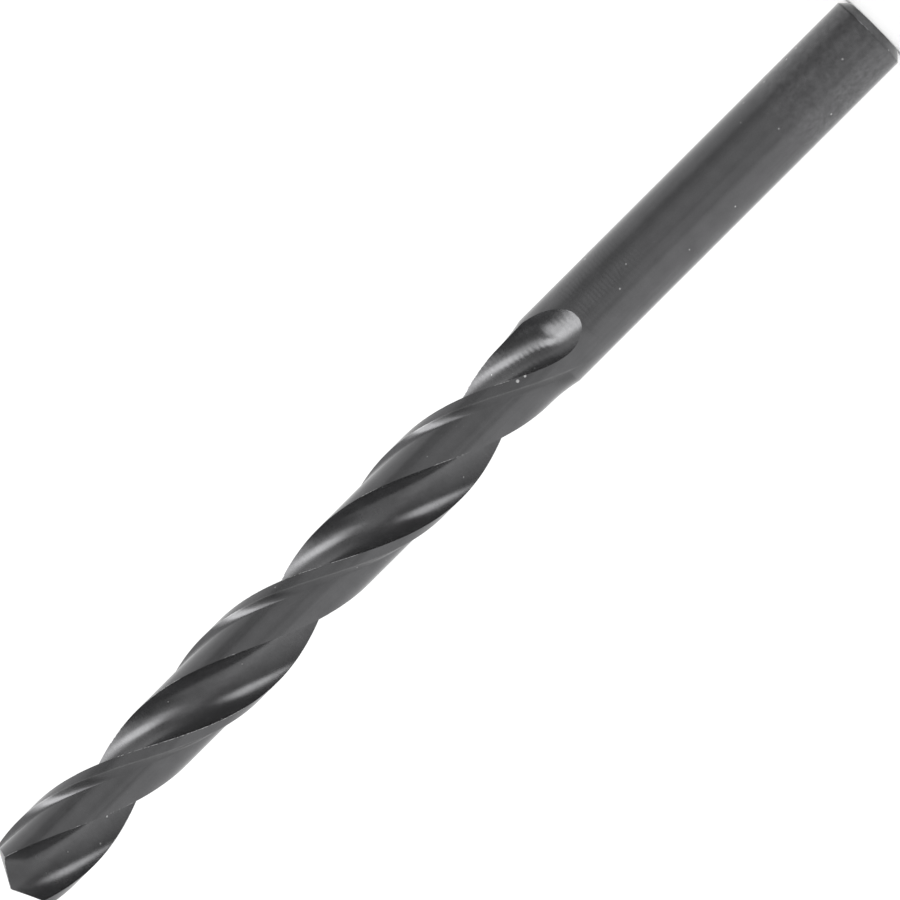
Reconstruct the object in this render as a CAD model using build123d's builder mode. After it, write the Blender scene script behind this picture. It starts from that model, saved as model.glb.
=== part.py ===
from build123d import *
from math import acos, asin, atan2, cos, degrees, hypot, radians, sin, sqrt, tan
import os

os.makedirs("parts", exist_ok=True)

# ---------------------------------------------------------------- driving sizes, mm and degrees
# The drill stands on its shank end: origin at the centre of that end, +Z to the point.
cut_dia = 8.0              # across the margins at the point
shank_undersize = 0.05     # the plain shank is this much thinner than the hole that is cut
overall_length = 114.35    # shank end to where the two lips would cross
flute_length = 75.57       # the same crossing to the last trace of the flutes
end_chamfer = 0.75         # 45 degree chamfer round the shank end
helix_lead = 48.64         # travel along the axis for one turn of the flutes

point_angle = 133.0        # between the two lips
lip_bearing = 31.7         # direction of the first lip, round from +X
relief_tilt = 13.0         # tilt of the grinding cone about the lip
cone_setback = 4.0         # apex of the grinding cone behind the axis, along the lip

web_at_point = 1.36        # core left between the flutes
web_at_runout = 2.1
land_at_point = 83.0       # leading edge to heel, degrees
land_at_runout = 88.5

margin_width = 1.15        # round the circumference
step_width = 0.4           # hollow step from the margin down to the land
step_hollow = 0.3          # height of the step's middle, as a share of its whole height
relief_at_point = 0.58     # the lands behind the margins lie this far below them
relief_at_runout = 0.43

floor_ramp = 15.0          # the flute floor's even ramp where it starts to climb out, degrees
floor_ramp_length = 4.0    # that ramp by itself, before the floor curls up as well
rise_length = 7.6          # the whole climb
rise_twist_share = 0.33    # the flutes turn this much slower, on average, while they climb
land_rise_start = 7.65     # start of the relieved land's climb, above the end of the flutes
land_rise_length = 3.7

# ---------------------------------------------------------------- sizes that follow
shank_dia = cut_dia - shank_undersize
cut_radius = cut_dia / 2
shank_radius = shank_dia / 2
land_radius_at_point = cut_radius - relief_at_point
land_radius_at_runout = cut_radius - relief_at_runout
half_point = radians(point_angle / 2)
half_turn = 180.0
twist_per_mm = 2 * half_turn / helix_lead
web_radius = web_at_point / 2
corner_height = overall_length - sqrt(cut_radius**2 - web_radius**2) / tan(half_point)
runout_height = overall_length - flute_length
rise_height = runout_height + rise_length
curl_length = rise_length - floor_ramp_length
curl_depth = shank_radius - web_at_runout / 2 - rise_length * tan(radians(floor_ramp))
curl_radius = (curl_length**2 + curl_depth**2) / (2 * curl_depth)
land_rise_height = runout_height + land_rise_start
land_rise_radius = land_rise_length**2 / (2 * relief_at_runout)
margin_angle = degrees(margin_width / cut_radius)
step_angle = degrees(step_width / cut_radius)

# reach of the cutting shapes past the steel
overrun = cut_radius / 2
top = overall_length + overrun
outside = cut_radius + overrun / 2
far_outside = cut_dia
runoff = 0.5               # they run on this far along the axis after they have left it
heel_overlap = 22.5        # degrees the relieved strip runs on past the heel into the flute

# spacing of the sections the cutting shapes are drawn through
section_step = 4.0
floor_spans = 6
land_spans = 3
rise_sections = 7
land_rise_sections = 3


def along(height, at_point, at_runout):
    """Value that changes evenly from the outer corners to the start of the flutes' climb."""
    share = (corner_height - height) / (corner_height - rise_height)
    return at_point + (at_runout - at_point) * share


def climb(radius, start, height):
    """Rise of a circular climb out of the steel, below its starting height."""
    drop = max(start - height, 0)
    return radius - sqrt(radius**2 - drop**2)


def floor_rise(height):
    """Rise of the flute floor: an even ramp, then a curl on top of it."""
    ramp = max(rise_height - height, 0) * tan(radians(floor_ramp))
    return ramp + climb(curl_radius, runout_height + curl_length, height)


def edge_bearing(height):
    """Direction of the first leading edge on its helix."""
    corner = lip_bearing + degrees(asin(web_radius / cut_radius))
    return corner + twist_per_mm * (height - corner_height)


def flute_bearing(height):
    """The same edge on the flute, which turns ever slower as it climbs out."""
    drop = max(rise_height - height, 0)
    return edge_bearing(height) + twist_per_mm * rise_twist_share * drop**2 / rise_length


def polar(radius, angle):
    return Vector(radius * cos(radians(angle)), radius * sin(radians(angle)))


def flute_outline(height):
    """Points of the flute's round floor from outside the leading edge to outside the heel, then a far corner.

    The floor is an arc that touches the core and passes the leading edge and the heel. An arc that
    touches the core and passes a point at radius r and angle a from its centre line has its centre at
    the distance (r^2 - core^2) / 2 / (r cos a - core), and that is the same for both edges.
    """
    core = along(max(height, rise_height), web_radius, web_at_runout / 2)
    heel_radius = along(height, land_radius_at_point, land_radius_at_runout)
    opening = radians(half_turn - along(height, land_at_point, land_at_runout))
    edge_reach = cut_radius**2 - core**2
    heel_reach = heel_radius**2 - core**2
    across = edge_reach * heel_radius * sin(opening)
    level = edge_reach * heel_radius * cos(opening) - heel_reach * cut_radius
    offset = core * (edge_reach - heel_reach)
    angle = atan2(across, level) - acos(offset / hypot(across, level))
    distance = edge_reach / 2 / (cut_radius * cos(angle) - core)
    radius = distance - core

    middle = flute_bearing(height) + degrees(angle)
    distance += floor_rise(height)
    half_arc = degrees(acos((distance**2 + radius**2 - outside**2) / (2 * distance * radius)))
    inward = middle + half_turn
    turns = [half_arc - 2 * half_arc * span / floor_spans for span in range(floor_spans + 1)]
    floor = [polar(distance, middle) + polar(radius, inward + turn) for turn in turns]
    return floor, polar(far_outside, middle)


def land_outline(height):
    """Points of the step behind the margin, of the relieved land, and back round outside."""
    rise = climb(land_rise_radius, land_rise_height, height)
    inner = along(height, land_radius_at_point, land_radius_at_runout) + rise
    depth = max(cut_radius - inner, 0)
    start = edge_bearing(height) - margin_angle
    foot = start - step_angle
    end = start - along(height, land_at_point, land_at_runout) + margin_angle - heel_overlap
    step = [polar(inner + depth, start), polar(inner + depth * step_hollow, (start + foot) / 2)]
    land = [polar(inner, foot + (end - foot) * span / land_spans) for span in range(land_spans + 1)]
    around = [polar(outside + rise, end), polar(far_outside, (start + end) / 2)]
    return step, land, around + [polar(outside + rise, start)]


def heights_down_to(end):
    """Evenly spaced section heights from above the point down to the given height."""
    count = round((top - end) / section_step)
    return [top + (end - top) * step / count for step in range(count + 1)]


# ---------------------------------------------------------------- what milling a flute takes out
flute_heights = heights_down_to(rise_height)
for step in range(1, rise_sections + 1):
    turned = radians(half_turn / 2 * step / rise_sections)
    flute_heights.append(rise_height - (rise_length + runoff) * sin(turned))

with BuildPart() as flute_void:
    for height in flute_heights:
        floor, corner = flute_outline(height)
        with BuildSketch(Plane.XY.offset(height)):
            with BuildLine():
                Spline(*floor)
                Polyline(floor[-1], corner, floor[0])
            make_face()
    loft()

# ---------------------------------------------------------------- what relieving a land takes off
land_heights = heights_down_to(land_rise_height)
for step in range(1, land_rise_sections + 1):
    land_heights.append(land_rise_height - (land_rise_length + runoff) * step / land_rise_sections)

with BuildPart() as land_void:
    for height in land_heights:
        step, land, around = land_outline(height)
        with BuildSketch(Plane.XY.offset(height)):
            with BuildLine():
                Spline(*step, land[0])
                Spline(*land)
                Polyline(land[-1], *around, step[0])
            make_face()
    loft()

# ---------------------------------------------------------------- the cones the point is ground on
cone_height = overall_length + shank_dia + cut_dia + far_outside


def cone_foot(turn):
    """Plane of the cone's foot: the cone lies along one lip and is tilted about it for relief."""
    lip = Vector(sin(half_point), 0, -cos(half_point))
    down = Vector(0, 0, -1).rotate(Axis((0, 0, 0), lip), relief_tilt)
    apex = Vector(0, web_radius, overall_length) - lip * (cone_setback / sin(half_point))
    foot = apex + down * cone_height
    bearing = lip_bearing + turn
    return Plane(origin=foot.rotate(Axis.Z, bearing), z_dir=-down.rotate(Axis.Z, bearing))


# ---------------------------------------------------------------- the drill
with BuildPart() as twist_drill:
    with BuildSketch(Plane.XZ):
        with BuildLine():
            Polyline(
                (0, 0),
                (shank_radius - end_chamfer, 0),
                (shank_radius, end_chamfer),
                (shank_radius, runout_height - overrun),
                (cut_radius, top),
                (0, top),
                close=True,
            )
        make_face()
    revolve(axis=Axis.Z)
    for turn in (0, half_turn):
        with Locations(cone_foot(turn)):
            Cone(
                bottom_radius=cone_height * tan(half_point),
                top_radius=0,
                height=cone_height,
                align=(Align.CENTER, Align.CENTER, Align.MIN),
                mode=Mode.INTERSECT,
            )
    for turn in (0, half_turn):
        add(land_void.part, rotation=(0, 0, turn), mode=Mode.SUBTRACT)
        add(flute_void.part, rotation=(0, 0, turn), mode=Mode.SUBTRACT)

twist_drill.part.label = "twist_drill"
export_step(twist_drill.part, "parts/twist_drill.step")
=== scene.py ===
"""A black-oxide twist drill, standing on its shank end, dressed over its CAD frame."""

import math

import bpy
import numpy as np
from mathutils import Matrix


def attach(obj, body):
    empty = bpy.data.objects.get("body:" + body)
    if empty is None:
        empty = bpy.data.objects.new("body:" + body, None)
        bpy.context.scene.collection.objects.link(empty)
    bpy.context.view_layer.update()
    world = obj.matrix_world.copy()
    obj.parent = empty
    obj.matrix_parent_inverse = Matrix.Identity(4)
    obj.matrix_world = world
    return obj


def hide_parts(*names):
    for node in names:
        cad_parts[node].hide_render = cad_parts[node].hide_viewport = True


bl_info = {
    "name": "Twist drill",
    "version": (1, 0, 0),
    "blender": (4, 5, 0),
    "location": "3D View > Sidebar > Twist drill",
    "description": "A straight-shank twist drill with ground margins and an oxide finish",
    "category": "Add Mesh",
}

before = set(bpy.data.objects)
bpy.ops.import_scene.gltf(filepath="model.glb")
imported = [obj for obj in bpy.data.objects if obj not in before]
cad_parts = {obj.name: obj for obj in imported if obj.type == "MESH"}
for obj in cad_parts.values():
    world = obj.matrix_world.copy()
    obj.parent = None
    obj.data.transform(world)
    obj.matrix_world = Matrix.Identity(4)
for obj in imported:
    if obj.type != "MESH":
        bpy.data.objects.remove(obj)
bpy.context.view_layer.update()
MM = 0.001
HALF_TURN = math.pi

# fineness of the mesh: columns round one half of the drill, and rows up it
LAND_COLUMNS = 44
STEP_COLUMNS = 6
MARGIN_COLUMNS = 4
FLUTE_COLUMNS = 64
RUNOUT_ROWS = 66
HELIX_ROWS = 240
POINT_ROWS = 18
POINT_BAND = 3.2             # these rows bend towards the point over this height below its corners, mm
FLANK_RINGS = 14
END_RINGS = 6
CHISEL_SPANS = 24
WELD = 2e-5                  # points closer than this are one point, mm
SHARP_ANGLE = math.radians(32)

# reach of the shapes past the steel
FLUTE_ARC = 1.75             # the flute's arc to each side of its middle, radians
FLUTE_RUN_ON = 0.5           # the flute's climb goes on this far past its end, mm
HEEL_OVERLAP = math.radians(22.5)
STEP_HOLLOW = 0.65           # share of the step behind the margin that is a square curve, the rest being even
CHAMFER_SOFTNESS = 0.03      # rounding where the end chamfer meets the shank, mm

# what each face belongs to, and the marks that each point carries
LAND, STEP, MARGIN, FLUTE, SHANK_END, FLANK = range(6)
MARKS = ("rim", "across", "ledge")
FAR = 9.0                    # a distance in mm past every worn edge


class DrillSettings(bpy.types.PropertyGroup):
    """Sizes of the drill in millimetres, its angles, and its colours."""

    cut_dia: bpy.props.FloatProperty(
        name="Cutting diameter", description="Across the margins, mm", default=8.0)
    shank_dia: bpy.props.FloatProperty(
        name="Shank diameter", description="Plain shank, mm", default=7.95)
    length: bpy.props.FloatProperty(
        name="Length", description="Shank end to where the lips cross, mm", default=114.35)
    flute_length: bpy.props.FloatProperty(
        name="Flute length", description="Where the lips cross to the flutes' end, mm", default=75.57)
    end_chamfer: bpy.props.FloatProperty(
        name="End chamfer", description="Round the shank end, mm", default=0.75)
    lead: bpy.props.FloatProperty(
        name="Lead", description="Travel for one turn of the flutes, mm", default=48.64)
    point_angle: bpy.props.FloatProperty(
        name="Point angle", description="Between the lips", default=math.radians(133.0), subtype="ANGLE")
    lip_bearing: bpy.props.FloatProperty(
        name="Lip bearing", description="Direction of the first lip round from +X",
        default=math.radians(31.7), subtype="ANGLE")
    relief_tilt: bpy.props.FloatProperty(
        name="Relief tilt", description="Tilt of the grinding cone about the lip",
        default=math.radians(13.0), subtype="ANGLE")
    cone_setback: bpy.props.FloatProperty(
        name="Cone setback", description="Grinding cone's apex behind the axis, mm", default=4.0)
    web: bpy.props.FloatVectorProperty(
        name="Web", description="Core at the point and at the run-out, mm", size=2, default=(1.36, 2.1))
    land: bpy.props.FloatVectorProperty(
        name="Land", description="Leading edge to heel, at the point and at the run-out, degrees",
        size=2, default=(83.0, 88.5))
    relief: bpy.props.FloatVectorProperty(
        name="Relief", description="Lands below the margins, at the point and at the run-out, mm",
        size=2, default=(0.58, 0.43))
    margin: bpy.props.FloatProperty(
        name="Margin", description="Width round the circumference, mm", default=1.15)
    step: bpy.props.FloatProperty(
        name="Step", description="Width of the step behind the margin, mm", default=0.85)
    rise_length: bpy.props.FloatProperty(
        name="Rise length", description="Flute floor climbing out of the shank, mm", default=7.6)
    rise_slope: bpy.props.FloatProperty(
        name="Rise slope", description="Slope of the floor where it climbs out",
        default=math.radians(44), subtype="ANGLE")
    rise_turn: bpy.props.FloatProperty(
        name="Rise turn", description="Softness of the floor's turn into that slope, mm", default=0.7)
    rise_twist: bpy.props.FloatProperty(
        name="Rise twist", description="Share of the twist that is lost, on average, on that climb",
        default=0.33)
    land_rise: bpy.props.FloatVectorProperty(
        name="Land rise", description="Start above the flutes' end, and length, of the land's climb, mm",
        size=2, default=(7.65, 3.7))
    oxide: bpy.props.FloatVectorProperty(
        name="Oxide", description="Black oxide over steel", size=3, subtype="COLOR",
        default=(0.115, 0.115, 0.118))
    # this colour is also used for a painted highlight line behind each margin and two painted glints
    bare: bpy.props.FloatVectorProperty(
        name="Bare steel", description="Steel where the oxide has worn off", size=3, subtype="COLOR",
        default=(0.62, 0.62, 0.62))
    floor: bpy.props.FloatVectorProperty(
        name="Floor", description="Pale floor", size=3, subtype="COLOR", default=(0.92, 0.92, 0.92))


# ------------------------------------------------------------------ the drill's form
class DrillForm:
    """The drill's surface worked out from its sizes, all in millimetres."""

    def __init__(self, s):
        self.s = s
        self.cut = s.cut_dia / 2
        self.shank = s.shank_dia / 2
        self.half_point = s.point_angle / 2
        self.twist = 2 * HALF_TURN / s.lead
        self.web = s.web[0] / 2
        self.corner = s.length - math.sqrt(self.cut**2 - self.web**2) / math.tan(self.half_point)
        self.runout = s.length - s.flute_length
        self.rise = self.runout + s.rise_length
        climb = (self.shank - s.web[1] / 2) / math.tan(s.rise_slope)
        self.knee = self.runout + climb - s.rise_turn**2 / climb
        self.land_rise = self.runout + s.land_rise[0]
        self.land_rise_radius = s.land_rise[1] ** 2 / (2 * s.relief[1])
        self.margin = s.margin / self.cut
        self.step = s.step / self.cut
        self.crossings()

    def share(self, z):
        """0 at the outer corners, 1 where the flutes start to climb."""
        return (self.corner - z) / (self.corner - self.rise)

    def edge(self, z):
        """Bearing of the first leading edge: it turns evenly with height."""
        return self.s.lip_bearing + math.asin(self.web / self.cut) + self.twist * (z - self.corner)

    def lead_in(self, z):
        """The same bearing on the flute: it falls behind with the square of the climb's drop."""
        drop = np.maximum(self.rise - z, 0)
        return self.edge(z) + self.twist * self.s.rise_twist * drop**2 / self.s.rise_length

    def mixed(self, pair, z):
        """A size that changes evenly from the outer corners to the start of the climb."""
        f = self.share(z)
        return pair[0] * (1 - f) + pair[1] * f

    def blank(self, z):
        """Radius of the turned blank: shank, then an even taper up to the point."""
        start = self.runout - self.cut / 2
        taper = (z - start) / (self.s.length + self.cut / 2 - start)
        return self.shank + (self.cut - self.shank) * np.clip(taper, 0, 1)

    def land_radius(self, z):
        """Radius of the relieved land: even taper, then a circular climb out to the blank."""
        inner = self.cut - self.mixed(self.s.relief, z)
        steepest = 0.9 * self.land_rise_radius
        drop = np.clip(self.land_rise - z, 0, steepest)
        return inner + self.land_rise_radius - np.sqrt(self.land_rise_radius**2 - drop**2)

    def body_radius(self, behind, z):
        """Radius at an angle behind the leading edge: margin, hollow step down, land, then blank.

        The step falls from the blank to the land with a blend of an even slope and its square.
        """
        blank = self.blank(z)
        land = np.minimum(self.land_radius(z), blank)
        width = np.radians(self.mixed(self.s.land, z)) + HEEL_OVERLAP
        q = np.clip(1 - (behind - self.margin) / self.step, 0, 1)
        radius = land + (blank - land) * ((1 - STEP_HOLLOW) * q + STEP_HOLLOW * q**2)
        return np.where((behind < self.margin) | (behind > width), blank, radius)

    def flute(self, u, z):
        """Point of the first flute: an arc that touches the core and passes the leading edge and the heel.

        Its centre lies at (r^2 - core^2) / 2 / (r cos a - core) from the axis, which is one distance for
        both edges. Where the flute climbs, the centre moves out along a hyperbola: level at first, then at
        the rise's slope. u runs from the rake side to the heel side.
        """
        core = self.mixed(self.s.web, np.maximum(z, self.rise)) / 2
        heel = self.cut - self.mixed(self.s.relief, z)
        opening = HALF_TURN - np.radians(self.mixed(self.s.land, z))
        edge_reach = self.cut**2 - core**2
        heel_reach = heel**2 - core**2
        across = edge_reach * heel * np.sin(opening)
        level = edge_reach * heel * np.cos(opening) - heel_reach * self.cut
        offset = core * (edge_reach - heel_reach)
        middle = np.arctan2(across, level) - np.arccos(offset / np.hypot(across, level))
        distance = edge_reach / 2 / (self.cut * np.cos(middle) - core)
        size = distance - core
        past = np.minimum(self.knee - z, self.knee - self.runout + FLUTE_RUN_ON)
        climbed = (past + np.hypot(past, 2 * self.s.rise_turn)) / 2
        distance = distance + math.tan(self.s.rise_slope) * climbed
        turn = FLUTE_ARC * (1 - 2 * u)
        forward = distance - size * np.cos(turn)
        aside = -size * np.sin(turn)
        return np.hypot(forward, aside), middle + np.arctan2(aside, forward) + self.lead_in(z)

    def crossings(self):
        """Where the flute's outline passes the body on its rake side and on its heel side, by height.

        Between two neighbouring points of the outline the crossing is found by their shares of the gap.
        """
        heights, places = 1600, 1200
        below, above = 0.1, 1.0
        z = np.linspace(self.runout - below, self.s.length + above, heights)[:, None] + np.zeros((1, places))
        u = np.linspace(0, 1, places)[None, :] + np.zeros_like(z)
        radius, angle = self.flute(u, z)
        behind = np.mod(self.edge(z) - angle, HALF_TURN)
        over = radius - self.body_radius(behind, z)
        inside = over < 0
        cuts = inside.any(axis=1)
        rows = np.flatnonzero(cuts)
        first = np.argmax(inside[rows], axis=1)
        last = u.shape[1] - 1 - np.argmax(inside[rows][:, ::-1], axis=1)

        def meet(a, b):
            fa, fb = over[rows, a], over[rows, b]
            return u[rows, a] + (u[rows, b] - u[rows, a]) * fa / (fa - fb)

        self.z_known = z[rows, 0]
        self.u_rake = meet(first - 1, first)
        self.u_heel = meet(last + 1, last)

    def column(self, part, c, z):
        """Radius and bearing of a column of the surface at height z.

        The land runs from the heel to the foot of the step, then come the step, the margin up to the
        leading edge, and the flute down and up to the next heel. c runs 0..1 within each part. Below the
        flutes' end the columns go straight down.
        """
        zc = np.maximum(z, self.z_known[0])
        u1 = np.interp(zc, self.z_known, self.u_rake)
        u2 = np.interp(zc, self.z_known, self.u_heel)
        _, rake = self.flute(u1, zc)
        _, heel = self.flute(u2, zc)
        base = self.lead_in(zc)
        rake = base + np.mod(rake - base + HALF_TURN, 2 * HALF_TURN) - HALF_TURN
        heel = base + np.mod(heel - base, 2 * HALF_TURN)
        start = self.edge(zc) - self.margin
        foot = start - self.step
        radius_f, angle_f = self.flute(u1 + (u2 - u1) * c, zc)
        angle_f = base + np.mod(angle_f - base + HALF_TURN / 2, 2 * HALF_TURN) - HALF_TURN / 2
        behind_heel = heel - HALF_TURN
        angle = np.select(
            [part == LAND, part == STEP, part == MARGIN],
            [behind_heel + (foot - behind_heel) * c, foot + (start - foot) * c, start + (rake - start) * c],
            angle_f)
        blank = self.blank(z)
        body = self.body_radius(np.maximum(self.edge(zc) - angle, 0), z)
        body = np.where(part == MARGIN, blank, body)
        body = np.where(part == LAND, self.land_radius(z), body)
        carved = np.where(z < self.z_known[0], np.minimum(radius_f, blank), radius_f)
        return np.minimum(np.where(part == FLUTE, carved, body), blank), angle

    def cone(self, x, y, turn):
        """Height of one grinding cone over a point: the lower root of the cone's quadratic in z.

        The cone's apex lies behind the axis on the lip's line, and its axis is the downward direction
        tilted about the lip.
        """
        h, t = self.half_point, self.s.relief_tilt
        lip = np.array([math.sin(h), 0, -math.cos(h)])
        down = np.array([0, 0, -1.0])
        along_lip = lip * lip.dot(down)
        axis = down * math.cos(t) + np.cross(lip, down) * math.sin(t) + along_lip * (1 - math.cos(t))
        apex = np.array([0, self.web, self.s.length]) - lip * self.s.cone_setback / math.sin(h)
        a = self.s.lip_bearing + turn
        px = x * math.cos(a) + y * math.sin(a) - apex[0]
        py = -x * math.sin(a) + y * math.cos(a) - apex[1]
        c2 = math.cos(h) ** 2
        flat = px * axis[0] + py * axis[1]
        lead = axis[2] ** 2 - c2
        half = flat * axis[2]
        rest = flat**2 - c2 * (px**2 + py**2)
        return apex[2] + (-half - np.sqrt(np.maximum(half**2 - lead * rest, 0))) / lead

    def point(self, x, y):
        """Height of the ground point: the lower of its two cones."""
        return np.minimum(self.cone(x, y, 0), self.cone(x, y, HALF_TURN))


def drill_columns():
    """The part that each column belongs to, its place 0..1 in it, and which half of the drill it is on.

    Columns crowd towards a part's two ends by a cosine, which on the land is mixed half and half with an
    even spacing.
    """
    def even(count):
        return np.linspace(0, 1, count + 1)[:-1]

    def crowded(count):
        return (1 - np.cos(HALF_TURN * even(count))) / 2

    spread = ((LAND, (even(LAND_COLUMNS) + crowded(LAND_COLUMNS)) / 2), (STEP, even(STEP_COLUMNS)),
              (MARGIN, even(MARGIN_COLUMNS)), (FLUTE, crowded(FLUTE_COLUMNS)))
    part = np.tile(np.concatenate([np.full(len(c), part) for part, c in spread]), 2)
    c = np.tile(np.concatenate([c for part, c in spread]), 2)
    half = np.repeat([0, 1], len(part) // 2)
    return part, c, half


def drill_rows(form, top_start):
    """Heights of the rows from the shank end up to where they start to bend towards the point.

    They are close together where the chamfer starts and ends, far apart on the plain shank, and crowd
    towards the flutes' end by a power of their share of the way.
    """
    chamfer = form.s.end_chamfer * np.array([0, 0.04, 0.12, 0.3, 0.6, 0.85, 0.95, 1.0, 1.06, 1.2])
    shank = np.array([4.0, 12.0, 20.0, 28.0, form.runout - 1, form.runout - 0.35])
    crowding = 1.15
    start = form.z_known[0]
    runout = start + (form.land_rise - start) * np.linspace(0, 1, RUNOUT_ROWS) ** crowding
    helix = np.linspace(form.land_rise, top_start, HELIX_ROWS)[1:]
    return np.concatenate([chamfer, shank, runout, helix])


def drill_grid(form):
    """Columns round the drill and rows up it, as arrays of x, y and z, and what each column belongs to.

    Each column's top is where it meets the ground point: the point's height over the column's place is
    taken for its new top again and again, until it stays. The end chamfer meets the shank in the smaller
    of their two radii, with its corner rounded off as a hyperbola.
    """
    rounds = 14
    part, c, half = drill_columns()
    turned = half[None] * HALF_TURN
    top_start = form.corner - POINT_BAND
    z = drill_rows(form, top_start)[:, None] + np.zeros((1, len(c)))
    z_end = np.full((1, len(c)), form.corner)
    for _ in range(rounds):
        radius, angle = form.column(part[None], c[None], z_end)
        z_end = form.point(radius * np.cos(angle + turned), radius * np.sin(angle + turned))
    v = np.linspace(0, 1, POINT_ROWS + 1)[1:, None]
    z = np.concatenate([z, top_start + (z_end - top_start) * v])
    radius, angle = form.column(part[None], c[None], z)
    angle = angle + turned
    chamfer = form.shank - form.s.end_chamfer + z
    rounded = (radius + chamfer - np.hypot(radius - chamfer, CHAMFER_SOFTNESS)) / 2
    above_chamfer = 1.3 * form.s.end_chamfer
    radius = np.where(z < above_chamfer, rounded, radius)
    return radius * np.cos(angle), radius * np.sin(angle), z, part, c, half


def fan(loop, centre, rows, height):
    """Flat or ground end: rings that shrink evenly from a closed loop to a centre, at a given height."""
    w = np.linspace(1, 0, rows + 1)[:, None]
    x = centre[0] + (loop[:, 0] - centre[0]) * w
    y = centre[1] + (loop[:, 1] - centre[1]) * w
    return np.stack([x, y, height(x, y)], axis=-1)


def grid_faces(rows, columns, offset):
    """Quads between neighbouring rows and columns of a closed ring of points, numbered row by row."""
    i = np.arange(rows - 1)[:, None]
    j = np.arange(columns)[None, :]
    k = (j + 1) % columns
    low, high = i * columns, (i + 1) * columns
    return np.stack([low + j, low + k, high + k, high + j], axis=-1).reshape(-1, 4) + offset


def edge_distance(run, edges):
    """Distance along the surface, round the drill, to the nearest of some columns."""
    place = np.cumsum(run, axis=1) - run
    whole = place[:, -1:] + run[:, -1:]
    apart = np.abs(place[:, :, None] - place[:, None, edges])
    return np.minimum(apart, whole[:, :, None] - apart).min(axis=2)


def body_marks(form, x, y, z, part, c):
    """Marks of the grid's points: distance from a sharp edge, place across the flute, and distance from
    the back edge of a margin. Below the flutes' end there is no sharp edge."""
    run = np.hypot(np.diff(x, axis=1, append=x[:, :1]), np.diff(y, axis=1, append=y[:, :1]))
    rim = edge_distance(run, np.flatnonzero((c == 0) & ((part == FLUTE) | (part == LAND))))
    rim = np.where(z < form.z_known[0], FAR, rim)
    rim = np.minimum(rim, np.where(part == FLUTE, z[-1:] - z, FAR))
    across = np.where(part == FLUTE, c, 0) + np.zeros_like(x)
    ledge = edge_distance(run, np.flatnonzero((c == 0) & (part == MARGIN)))
    return np.stack([rim, across, ledge], axis=-1)


def ground_flanks(form, top, top_z, part, c, half):
    """Points and marks of the point's two flanks: each is a fan over half the body's top edge and the
    straight chisel edge, which starts and ends where the two grinding cones are equally high in a flute."""
    columns = len(c)
    n = columns // 2
    gap = form.cone(top[:, 0], top[:, 1], 0) - form.cone(top[:, 0], top[:, 1], HALF_TURN)
    floor = np.flatnonzero((part == FLUTE) & (half == 0) & (c > 0.2) & (c < 0.8))
    chisel = floor[np.argmin(np.abs(gap[floor]))]
    behind_lip, reach = math.radians(38), 1.75
    for turn in (0, 1):
        along = (np.arange(n + 1) + chisel - n + turn * n) % columns
        land = top[along]
        t = np.linspace(0, 1, CHISEL_SPANS + 1)[1:-1, None]
        loop = np.concatenate([land, land[-1] * (1 - t) + land[0] * t])
        middle = form.edge(form.corner) - behind_lip + turn * HALF_TURN
        centre = (reach * math.cos(middle), reach * math.sin(middle))
        flank = fan(loop, centre, FLANK_RINGS, form.point)
        flank[0, : n + 1, 2] = top_z[along]
        outwards = np.hypot(loop[:, 0] - centre[0], loop[:, 1] - centre[1])
        inward = outwards * np.linspace(0, 1, FLANK_RINGS + 1)[:, None]
        yield flank, np.stack([inward, 0 * inward, FAR + 0 * inward], axis=-1)


def drill_mesh(form):
    """The whole closed surface: the grid up the drill, its flat end and its two ground flanks, welded.

    Returns points, faces, the part that each face belongs to, and each point's marks.
    """
    x, y, z, part, c, half = drill_grid(form)
    body = np.stack([x, y, z], axis=-1)
    foot = fan(body[0], (0, 0), END_RINGS, lambda a, b: 0 * a)
    no_marks = np.full(foot.shape, (FAR, 0.0, FAR))
    sheets = [(body, body_marks(form, x, y, z, part, c), part, 1), (foot, no_marks, SHANK_END, -1)]
    top = np.stack([x[-1], y[-1]], axis=-1)
    sheets += [(*flank, FLANK, 1) for flank in ground_flanks(form, top, z[-1], part, c, half)]

    faces, zones, count = [], [], 0
    for sheet, _, zone, way in sheets:
        rows, columns = sheet.shape[:2]
        faces.append(grid_faces(rows, columns, count)[:, ::way])
        zones.append(np.tile(np.broadcast_to(zone, columns), rows - 1))
        count += rows * columns
    points = np.concatenate([sheet.reshape(-1, 3) for sheet, *_ in sheets])
    marks = np.concatenate([mark.reshape(-1, 3) for _, mark, *_ in sheets])
    _, index, inverse = np.unique(
        np.round(points / WELD).astype(np.int64), axis=0, return_index=True, return_inverse=True)
    faces = inverse.reshape(-1)[np.concatenate(faces)]
    return points[index], faces, np.concatenate(zones), marks[index]


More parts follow.
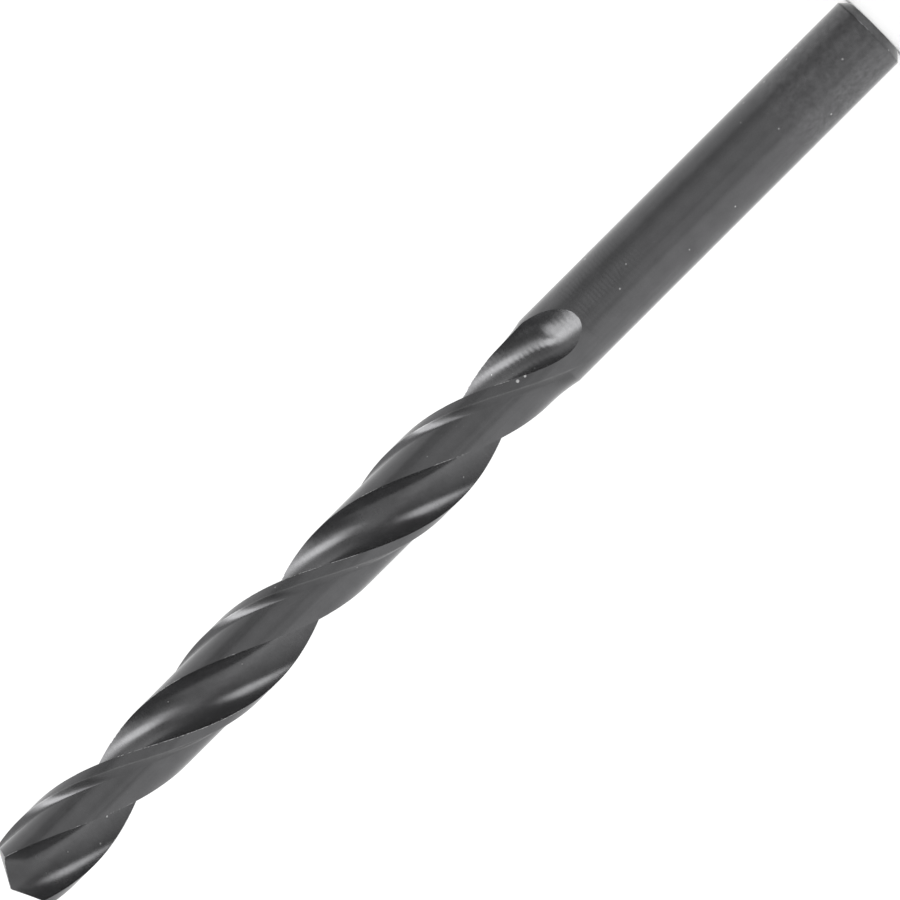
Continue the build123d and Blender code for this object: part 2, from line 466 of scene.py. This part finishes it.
def put_mesh(name, points, faces, zones=None, marks=None):
    """Mesh from points in millimetres and quads; a quad with two like corners is kept as a triangle.

    A zone is kept with each face, and the marks with each point.
    """
    same = faces == np.roll(faces, -1, axis=1)
    kinds = same.sum(axis=1)
    quads = faces[kinds == 0]
    folded = faces[kinds == 1]
    triangles = folded[~same[kinds == 1]].reshape(-1, 3)
    mesh = bpy.data.meshes.new(name)
    mesh.vertices.add(len(points))
    mesh.vertices.foreach_set("co", (points * MM).astype(np.float32).ravel())
    mesh.loops.add(quads.size + triangles.size)
    corners = np.concatenate([quads.ravel(), triangles.ravel()])
    mesh.loops.foreach_set("vertex_index", corners.astype(np.int32))
    mesh.polygons.add(len(quads) + len(triangles))
    starts = np.concatenate([np.arange(len(quads)) * 4, quads.size + np.arange(len(triangles)) * 3])
    mesh.polygons.foreach_set("loop_start", starts.astype(np.int32))
    mesh.polygons.foreach_set("use_smooth", np.ones(len(starts), dtype=bool))
    if zones is not None:
        zone = mesh.attributes.new("zone", "FLOAT", "FACE")
        sorted_zones = np.concatenate([zones[kinds == 0], zones[kinds == 1]])
        zone.data.foreach_set("value", sorted_zones.astype(np.float32))
        for column, mark_name in enumerate(MARKS):
            mark = mesh.attributes.new(mark_name, "FLOAT", "POINT")
            mark.data.foreach_set("value", marks[:, column].astype(np.float32))
    mesh.update(calc_edges=True)
    mesh.validate()
    return mesh


def make_object(name, data):
    """Object at the origin, unturned and unscaled, in the scene."""
    piece = bpy.data.objects.new(name, data)
    bpy.context.scene.collection.objects.link(piece)
    return piece


# ------------------------------------------------------------------ the oxide finish
class Nodes:
    """Adds shader nodes to a tree, each fed by sockets or plain numbers."""

    def __init__(self, tree):
        self.tree = tree

    def new(self, kind, inputs=(), **settings):
        """Node of a kind; an input of None is left as it is."""
        node = self.tree.nodes.new(kind)
        for name, value in settings.items():
            setattr(node, name, value)
        for place, value in enumerate(inputs):
            if isinstance(value, bpy.types.NodeSocket):
                self.tree.links.new(value, node.inputs[place])
            elif value is not None:
                node.inputs[place].default_value = value
        return node

    def math(self, operation, *values, clamp=False):
        return self.new("ShaderNodeMath", values, operation=operation, use_clamp=clamp).outputs[0]

    def vector_math(self, operation, *values, output=0):
        return self.new("ShaderNodeVectorMath", values, operation=operation).outputs[output]

    def product(self, first, *others):
        for share in others:
            first = self.math("MULTIPLY", first, share)
        return first

    def total(self, first, *others):
        for part in others:
            first = self.math("ADD", first, part)
        return first

    def mark(self, name):
        """A value that the mesh carries."""
        return self.new("ShaderNodeAttribute", attribute_name=name).outputs["Fac"]

    def ramp(self, value, stops):
        """Grey level from a value by stops of (place, level)."""
        node = self.new("ShaderNodeValToRGB", (value,))
        band = node.color_ramp
        for place, level in stops[1:-1]:
            band.elements.new(place).color = (level, level, level, 1)
        for element, (place, level) in ((band.elements[0], stops[0]), (band.elements[-1], stops[-1])):
            element.position = place
            element.color = (level, level, level, 1)
        return node.outputs[0]

    def between(self, value, low, high, top=1.0):
        """Smooth change from 0 at low to the top at high, held past both."""
        node = self.new("ShaderNodeMapRange", (value, low, high, 0.0, top))
        node.interpolation_type = "SMOOTHSTEP"
        return node.outputs[0]

    def blend(self, first, second, share):
        """Value that goes from the first to the second as the share goes from 0 to 1."""
        kept = self.math("MULTIPLY", first, self.math("SUBTRACT", 1.0, share))
        return self.math("ADD", kept, self.math("MULTIPLY", second, share))

    def noise(self, place, scale, detail, rough):
        node = self.new("ShaderNodeTexNoise", (place,))
        node.inputs["Scale"].default_value = scale
        node.inputs["Detail"].default_value = detail
        node.inputs["Roughness"].default_value = rough
        return node.outputs[0]

    def varied(self, shade, pattern, middle, amount, where=1.0):
        """Shade times 1 + amount x (pattern - middle), where the finish is."""
        apart = self.math("MULTIPLY", self.math("SUBTRACT", pattern, middle), where)
        return self.math("MULTIPLY", shade, self.math("MULTIPLY_ADD", apart, amount, 1.0))

    def wave(self, height, turns, pattern, wander):
        """Sine of the height times its turns in radians per mm, put out of step by a pattern."""
        return self.math("SINE", self.total(
            self.math("MULTIPLY", height, turns), self.math("MULTIPLY", pattern, wander)))


# heights in mm between which a finish comes in, from none to full
MILLED_FROM = (38.4, 38.6)
RIDGED_FROM = (52.0, 47.0)
RIPPLED_FROM = (28.0, 33.0)
RIPPLED_TO = (39.5, 38.0)
GRIPPED_FROM = (15.0, 10.0)
NICKED_FROM = (45.0, 48.0)
POINT_NICKED_FROM = (110.5, 113.0)
LEDGE_HIGHLIGHT_FROM = (41.5, 43.0)
# two painted glints beside the run-out, small discs of the bare steel's colour: place and radius in mm
PAINTED_GLINTS = (((0.09, -3.98, 47.02), 0.2), ((-0.06, -3.98, 46.2), 0.17))


class Finish:
    """Sockets that say where a point lies on the drill, and the patterns that its finish is made of."""

    def __init__(self, nodes):
        place = nodes.new("ShaderNodeTexCoord").outputs["Object"]
        self.mm = nodes.vector_math("MULTIPLY", place, (1 / MM,) * 3)
        self.height = nodes.new("ShaderNodeSeparateXYZ", (self.mm,)).outputs[2]
        self.rim, self.across, self.ledge = (nodes.mark(name) for name in MARKS)
        in_flute = nodes.math("COMPARE", nodes.mark("zone"), float(FLUTE), 0.4)
        self.flute = nodes.product(in_flute, nodes.between(self.height, *MILLED_FROM))
        self.plain = nodes.math("SUBTRACT", 1.0, self.flute)

        # cutter marks: fine ridges across each flute, broken up along it
        across = nodes.math("MULTIPLY", self.across, 3.0)
        milled = nodes.new("ShaderNodeCombineXYZ", (across, 0.0, self.height)).outputs[0]
        self.marks = nodes.noise(milled, 4.5, 3.0, 0.7)
        self.coarse = nodes.noise(milled, 0.9, 2.0, 0.6)

        # a drawn and turned shank: long faint lines
        drawn_way = nodes.vector_math("MULTIPLY", self.mm, (1.6, 1.6, 0.02))
        self.drawn = nodes.noise(drawn_way, 3.0, 3.0, 0.6)
        self.grain = nodes.noise(self.mm, 9.0, 3.0, 0.65)
        self.patches = nodes.noise(self.mm, 0.55, 3.0, 0.55)

        # the end that a chuck grips is scuffed
        self.scuffs = nodes.noise(self.mm, 1.7, 4.0, 0.7)
        self.gripped = nodes.between(self.height, *GRIPPED_FROM)


def bare_steel_and_painted_light(nodes, finish):
    """Share of the bare steel's colour: nicked edges, loose specks, a light line behind each margin that is
    partly wear and partly a painted highlight, and two painted glints.
    """
    chip = nodes.noise(finish.mm, 5.0, 2.0, 0.8)
    stretch = nodes.between(nodes.noise(finish.mm, 0.22, 1.0, 0.5), 0.4, 0.55)
    stretch = nodes.math("MAXIMUM", stretch, nodes.between(finish.height, *POINT_NICKED_FROM))
    near_rim = nodes.product(
        nodes.between(finish.rim, 0.18, 0.0), stretch, nodes.between(finish.height, *NICKED_FROM))
    nicks = nodes.between(nodes.product(near_rim, chip), 0.36, 0.5)
    # partly worn steel and partly a painted highlight: a faint light line along the back edge of each margin
    ledge_wear_and_highlight = nodes.product(
        nodes.between(finish.ledge, 0.13, 0.03), nodes.between(finish.height, *LEDGE_HIGHLIGHT_FROM), chip)
    worn = nodes.total(nodes.product(nicks, 0.6), nodes.product(ledge_wear_and_highlight, 0.16))

    cells = nodes.new("ShaderNodeTexVoronoi", feature="F1", distance="EUCLIDEAN")
    nodes.tree.links.new(finish.mm, cells.inputs["Vector"])
    cells.inputs["Scale"].default_value = 0.8
    chance, width, _ = nodes.new("ShaderNodeSeparateXYZ", (cells.outputs["Color"],)).outputs
    reach = nodes.math("MULTIPLY_ADD", width, 0.07, 0.02)
    speck = nodes.product(
        nodes.math("LESS_THAN", cells.outputs["Distance"], reach), nodes.math("GREATER_THAN", chance, 0.45))
    bare = nodes.math("MAXIMUM", worn, nodes.product(speck, 0.55), clamp=True)
    # painted glints: two small discs of the bare steel's colour beside the run-out
    for spot, radius in PAINTED_GLINTS:
        gap = nodes.vector_math("DISTANCE", finish.mm, spot, output="Value")
        bare = nodes.math("MAXIMUM", bare, nodes.between(gap, radius, radius / 2))
    return bare


def oxide_shade(nodes, finish):
    """Light and dark of the oxide, about 1."""
    shade = nodes.varied(1.0, finish.patches, 0.5, 0.4)
    shade = nodes.varied(shade, finish.grain, 0.5, 0.32)
    shade = nodes.varied(shade, finish.scuffs, 0.42, 1.1, finish.gripped)
    shade = nodes.varied(shade, finish.marks, 0.5, 0.5, finish.flute)
    return nodes.varied(shade, finish.drawn, 0.5, 0.22, finish.plain)


def oxide_roughness(nodes, finish, bare):
    """Roughness that follows the patches, the cutter's marks and the bare steel, the painted highlight line
    and glints included.
    """
    rough = nodes.math("MULTIPLY_ADD", finish.patches, 0.12, 0.14)
    milled = nodes.product(finish.flute, nodes.math("MULTIPLY_ADD", finish.coarse, 0.12, -0.02))
    return nodes.math("ADD", nodes.total(rough, milled), nodes.product(bare, 0.12), clamp=True)


def surface_lift(nodes, finish):
    """Height of the fine surface in mm: cutter's marks and ridges, drawn lines, the turned ripple, scuffs."""
    cut = nodes.math("MULTIPLY_ADD", finish.marks, 0.0022, nodes.product(finish.coarse, 0.004))
    drawn = nodes.math("MULTIPLY_ADD", finish.grain, 0.0006, nodes.product(finish.drawn, 0.002))
    ridges = nodes.wave(finish.height, 12.0, finish.coarse, 6.0)
    ripple = nodes.wave(finish.height, 14.0, finish.patches, 16.0)
    rippled = nodes.product(
        finish.plain, nodes.between(finish.height, *RIPPLED_FROM), nodes.between(finish.height, *RIPPLED_TO))
    return nodes.total(
        nodes.product(finish.flute, cut),
        nodes.product(finish.plain, drawn),
        nodes.product(finish.flute, nodes.between(finish.height, *RIDGED_FROM), ridges, 0.0014),
        nodes.product(rippled, ripple, 0.0022),
        nodes.product(finish.gripped, nodes.math("SUBTRACT", finish.scuffs, 0.5), 0.018))


def oxide_material(s):
    """Black oxide over steel: milled flutes, ground margins, a drawn shank, and bare steel at worn edges,
    with a painted highlight line behind each margin and two painted glints in the bare steel's colour.
    """
    material = bpy.data.materials.new("black_oxide")
    material.use_nodes = True
    nodes = Nodes(material.node_tree)
    link = nodes.tree.links.new
    shader = material.node_tree.nodes["Principled BSDF"]
    shader.inputs["Metallic"].default_value = 0.78
    finish = Finish(nodes)
    bare = bare_steel_and_painted_light(nodes, finish)

    dark = nodes.new("ShaderNodeVectorMath", (tuple(s.oxide),), operation="SCALE")
    link(oxide_shade(nodes, finish), dark.inputs["Scale"])
    mix = nodes.new("ShaderNodeMix", data_type="RGBA")
    link(bare, mix.inputs["Factor"])
    link(dark.outputs[0], mix.inputs["A"])
    mix.inputs["B"].default_value = (*s.bare, 1)
    link(mix.outputs["Result"], shader.inputs["Base Color"])
    link(oxide_roughness(nodes, finish, bare), shader.inputs["Roughness"])

    bump = nodes.new("ShaderNodeBump")
    bump.inputs["Strength"].default_value = 1.0
    bump.inputs["Distance"].default_value = MM
    link(surface_lift(nodes, finish), bump.inputs["Height"])
    link(bump.outputs[0], shader.inputs["Normal"])
    return material


# ------------------------------------------------------------------ the studio
def direction(bearing, lift):
    """Unit vector at a bearing from -Y towards +X and a lift above the floor, in degrees."""
    a, e = math.radians(bearing), math.radians(lift)
    return (math.cos(e) * math.sin(a), -math.cos(e) * math.cos(a), math.sin(e))


# brightness of the surroundings by bearing from -Y in degrees: level with the drill, above it, below it
LEVEL = (
    (-180, 1.3), (-125, 1.6), (-110, 1.5), (-90, 1.38), (-60, 1.4), (-43, 1.36), (-37, 1.0), (-32, 0.84),
    (-26, 1.02), (-20, 1.08), (-13, 0.86), (-6, 0.76), (2, 0.88), (26, 0.92), (38, 0.8), (50, 0.62),
    (60, 0.48), (69, 0.48), (75, 0.72), (83, 0.98), (95, 1.12), (120, 1.5), (140, 1.6), (180, 1.3))
ABOVE = (
    (-180, 1.1), (-90, 0.95), (-60, 0.85), (-20, 0.72), (0, 0.75), (60, 0.75), (90, 1.0), (180, 1.1))
BELOW = (
    (-180, 1.2), (-90, 1.3), (-55, 1.0), (-25, 0.72), (-8, 0.5), (10, 0.28), (50, 0.2), (90, 0.22),
    (180, 1.2))
BENEATH = 1.0
# how high a direction points where one ring gives way to the next, as the z of its unit vector
TO_ABOVE = (0.07, 0.22)
TO_BELOW = (-0.05, -0.16)
TO_BENEATH = (-0.72, -0.9)
# soft lamps and two dark screens: bearing, lift, full to this angle, gone from this angle (all degrees),
# and strength
LAMPS = (
    (20, 23, 3, 14, 2.2), (42, 29, 7, 17, 5.6), (60, 35, 4, 18, 1.6), (66, 50, 5, 19, 2.4),
    (32, -38, 8, 20, 4.8), (40, 74, 14, 34, 4.6), (-18, 43, 6, 22, -0.55), (48, 12, 3, 12, -0.6))
PLAIN_WHITE = 1.15


def studio_world():
    """Pale surroundings that darken on one side, with soft lamps; the camera and the floor see plain white.

    A ring gives the brightness at each bearing, the rings are blended by how high the direction points,
    and each lamp adds its strength within an angle of its own direction. The rings go in at half their
    brightness, which keeps every level of a colour ramp under 1, and are doubled after.
    """
    world = bpy.data.worlds.new("studio")
    world.use_nodes = True
    nodes = Nodes(world.node_tree)
    world.node_tree.nodes.clear()
    way = nodes.new("ShaderNodeTexCoord").outputs["Generated"]
    x, y, z = nodes.new("ShaderNodeSeparateXYZ", (way,)).outputs
    bearing = nodes.math("ARCTAN2", x, nodes.math("MULTIPLY", y, -1.0))
    place = nodes.math("MULTIPLY_ADD", bearing, 0.5 / math.pi, 0.5)
    level, above, below = (
        nodes.ramp(place, [(a / 360 + 0.5, bright / 2) for a, bright in ring])
        for ring in (LEVEL, ABOVE, BELOW))
    light = nodes.blend(level, above, nodes.between(z, *TO_ABOVE))
    light = nodes.blend(light, below, nodes.between(z, *TO_BELOW))
    light = nodes.math("MULTIPLY", light, 2.0)
    light = nodes.blend(light, BENEATH, nodes.between(z, *TO_BENEATH))
    for a, lift, full, gone, strength in LAMPS:
        facing = nodes.vector_math("DOT_PRODUCT", way, direction(a, lift), output="Value")
        edges = math.cos(math.radians(gone)), math.cos(math.radians(full))
        light = nodes.math("ADD", light, nodes.between(facing, *edges, strength))
    seen = nodes.new("ShaderNodeBackground", (None, light))
    plain = nodes.new("ShaderNodeBackground", ((1, 1, 1, 1), PLAIN_WHITE))
    mirrored = nodes.new("ShaderNodeLightPath").outputs["Is Glossy Ray"]
    both = nodes.new("ShaderNodeMixShader", (mirrored, plain.outputs[0], seen.outputs[0]))
    nodes.new("ShaderNodeOutputWorld", (both.outputs[0],))
    return world


def pale_floor(colour):
    """Wide square floor that the drill's reflections don't show."""
    half = 1.5 / MM
    corners = np.array([[-half, -half, 0], [half, -half, 0], [half, half, 0], [-half, half, 0]])
    mesh = put_mesh("floor", corners, np.array([[0, 1, 2, 3]]))
    paint = bpy.data.materials.new("pale_floor")
    paint.use_nodes = True
    shader = paint.node_tree.nodes["Principled BSDF"]
    shader.inputs["Base Color"].default_value = (*colour, 1)
    shader.inputs["Roughness"].default_value = 0.9
    mesh.materials.append(paint)
    floor = make_object("floor", mesh)
    floor.visible_glossy = False
    return floor


def level_camera():
    """Long lens that looks along +Y, rolled so that the drill runs from corner to corner."""
    data = bpy.data.cameras.new("camera")
    data.sensor_width = 36
    data.lens = 410.2
    camera = make_object("camera", data)
    roll = math.radians(45.0547)
    right = (-math.cos(roll), 0, -math.sin(roll))
    up = (math.sin(roll), 0, -math.cos(roll))
    back = (0, -1, 0)
    turn = Matrix((right, up, back)).transposed()
    camera.matrix_world = Matrix.Translation((0, -0.96, 0.05602)) @ turn.to_4x4()
    return camera


# ------------------------------------------------------------------ the add-on
class DRILL_OT_body(bpy.types.Operator):
    """Makes the drill in one piece."""

    bl_idname = "drill.body"
    bl_label = "Drill"

    def execute(self, context):
        form = DrillForm(context.scene.drill)
        mesh = put_mesh("fluted_drill", *drill_mesh(form))
        mesh.set_sharp_from_angle(angle=SHARP_ANGLE)
        mesh.materials.append(oxide_material(context.scene.drill))
        piece = make_object("fluted_drill", mesh)
        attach(piece, "root")
        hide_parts("twist_drill")
        return {"FINISHED"}


class DRILL_OT_stage(bpy.types.Operator):
    """Sets the floor, the light of the surroundings and the camera."""

    bl_idname = "drill.stage"
    bl_label = "Stage"

    def execute(self, context):
        scene = context.scene
        pale_floor(scene.drill.floor)
        scene.view_settings.view_transform = "Standard"
        scene.world = studio_world()
        scene.camera = level_camera()
        return {"FINISHED"}


class DRILL_PT_panel(bpy.types.Panel):
    """Lists the steps that make the drill."""

    bl_label = "Twist drill"
    bl_space_type = "VIEW_3D"
    bl_region_type = "UI"
    bl_category = "Twist drill"

    def draw(self, context):
        for step in STEPS:
            self.layout.operator(step.bl_idname)


STEPS = (DRILL_OT_body, DRILL_OT_stage)
CLASSES = (DrillSettings, *STEPS, DRILL_PT_panel)


def register():
    for item in CLASSES:
        bpy.utils.register_class(item)
    bpy.types.Scene.drill = bpy.props.PointerProperty(type=DrillSettings)


def unregister():
    del bpy.types.Scene.drill
    for item in reversed(CLASSES):
        bpy.utils.unregister_class(item)


def main():
    register()
    bpy.ops.drill.body()
    bpy.ops.drill.stage()


if __name__ == "__main__":
    main()
